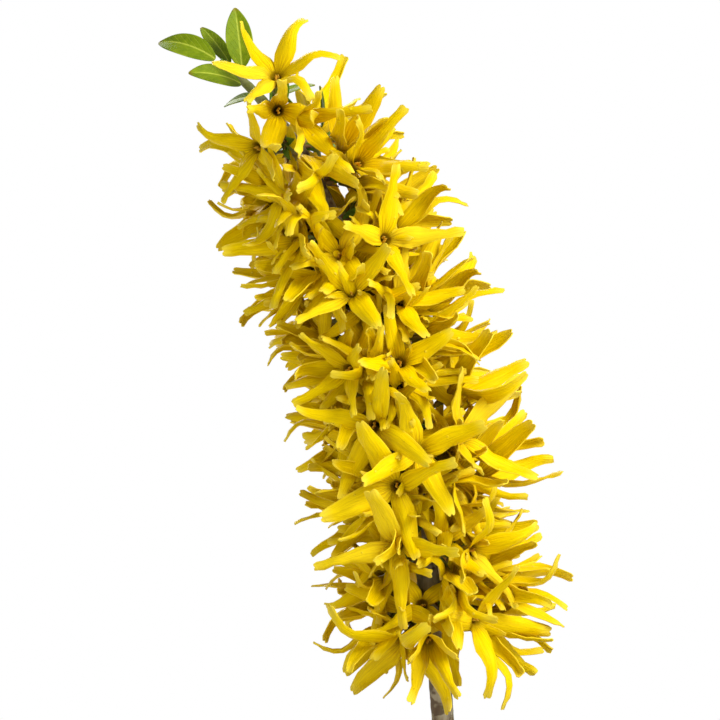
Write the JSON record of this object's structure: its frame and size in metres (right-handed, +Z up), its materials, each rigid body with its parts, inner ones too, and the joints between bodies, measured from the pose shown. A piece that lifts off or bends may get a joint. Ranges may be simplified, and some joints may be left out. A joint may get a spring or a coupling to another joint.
{
  "type": "potted forsythia",
  "caption": "Upright flowering forsythia shoot with yellow four-lobed flowers and young green tip leaves, growing in a plain round clay pot of soil.",
  "frame": {"origin": "centre of the pot's underside, which rests on the ground", "axes": "+Z up, -Y towards the front; the shoot leans towards -X as it rises"},
  "size_m": [0.1275, 0.104, 0.2973],
  "materials": {
    "terracotta": "unglazed fired clay, matt, slightly weathered",
    "soil": "dark loose potting mix with bits of bark",
    "bark": "olive-grey bark with pale raised pores",
    "leaf": "fresh green, soft sheen",
    "petal": "bright yellow, fine lengthwise veins, soft sheen"
  },
  "bodies": {
    "root": {"pot": "terracotta", "soil": "soil", "stem": "bark", "side_shoot": "leaf", "tip_leaf_1": "leaf", "tip_leaf_2": "leaf", "tip_leaf_3": "leaf", "tip_leaf_4": "leaf", "tip_leaf_5": "leaf", "stem_leaf_1": "leaf", "stem_leaf_2": "leaf", "shoot_leaf_1": "leaf", "shoot_leaf_2": "leaf", "shoot_leaf_3": "leaf", "shoot_leaf_4": "leaf", "flowers_01": "petal", "flowers_02": "petal", "flowers_03": "petal", "flowers_04": "petal", "flowers_05": "petal", "flowers_06": "petal", "flowers_07": "petal", "flowers_08": "petal", "flowers_09": "petal", "flowers_10": "petal", "flowers_11": "petal", "flowers_12": "petal", "flowers_13": "petal", "flowers_14": "petal", "flowers_15": "petal", "flowers_16": "petal", "flowers_17": "petal", "flowers_18": "petal", "flowers_19": "petal", "flowers_20": "petal", "flowers_21": "petal", "flowers_22": "petal", "flowers_23": "petal", "flowers_24": "petal", "flowers_25": "petal", "flowers_26": "petal", "flowers_27": "petal", "flowers_28": "petal", "flowers_29": "petal", "flowers_30": "petal", "flowers_31": "petal", "flowers_32": "petal", "flowers_33": "petal", "flowers_34": "petal", "flowers_35": "petal", "flowers_36": "petal", "flowers_37": "petal", "flowers_38": "petal", "flowers_39": "petal", "flowers_40": "petal", "flowers_41": "petal", "flowers_42": "petal", "flowers_43": "petal"}
  },
  "joints": []
}
